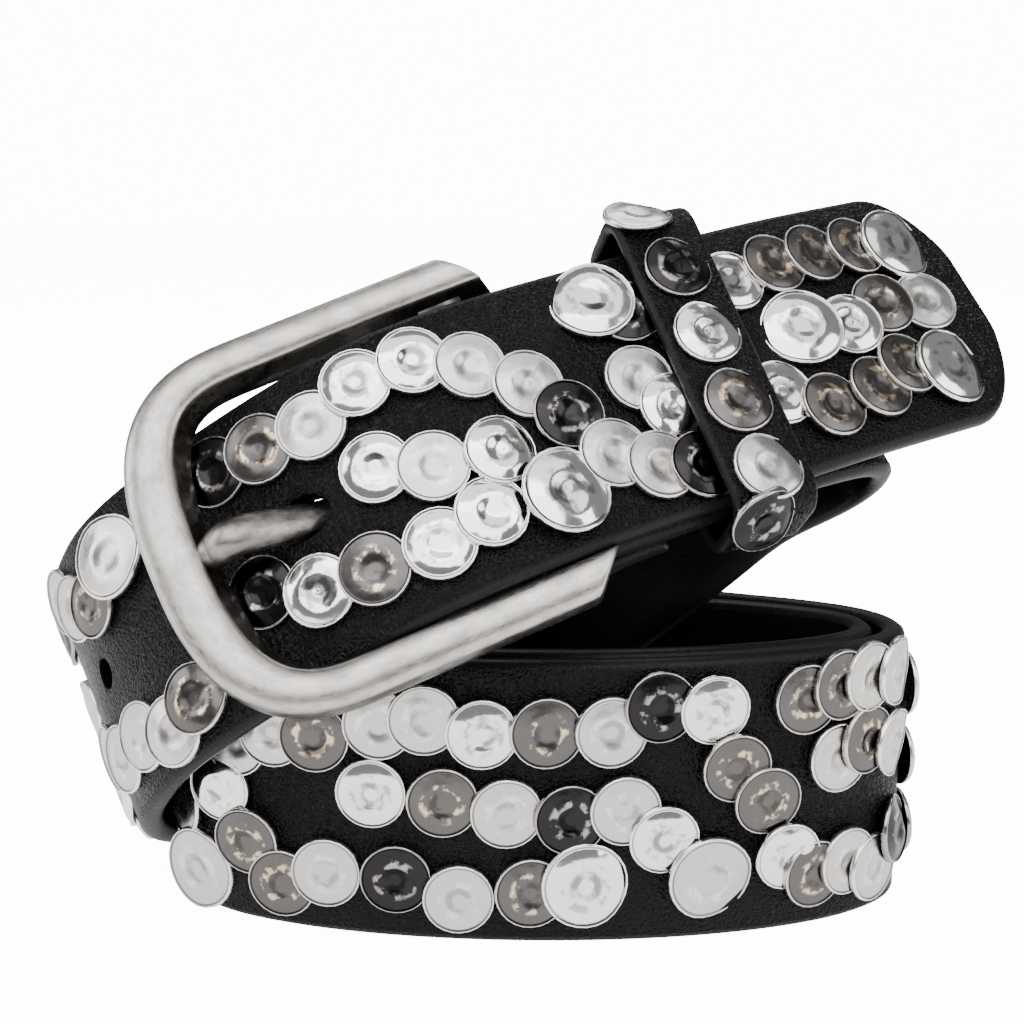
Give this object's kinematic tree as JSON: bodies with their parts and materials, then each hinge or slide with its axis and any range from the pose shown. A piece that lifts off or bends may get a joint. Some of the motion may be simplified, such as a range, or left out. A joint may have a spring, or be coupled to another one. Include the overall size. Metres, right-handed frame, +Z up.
{
  "type": "studded belt",
  "caption": "Leather belt covered in overlapping domed studs, buckled and coiled: a ring on its edge with a second loop leaning on it, D-shaped buckle, prong and studded keeper",
  "frame": {"origin": "Middle of the footprint, on the surface that the belt rests on", "axes": "+Z up; the buckle and the studded front face -Y; the strap's tip points to +X"},
  "size_m": [0.1338, 0.0672, 0.0941],
  "materials": {
    "black_leather": "fine pebbled grain, smooth painted edges",
    "antique_silver": "satin antique silver, worn brighter on its ridges"
  },
  "bodies": {
    "root": {"strap": "black_leather", "buckle_frame": "antique_silver", "prong": "antique_silver", "keeper": "black_leather"}
  },
  "joints": []
}
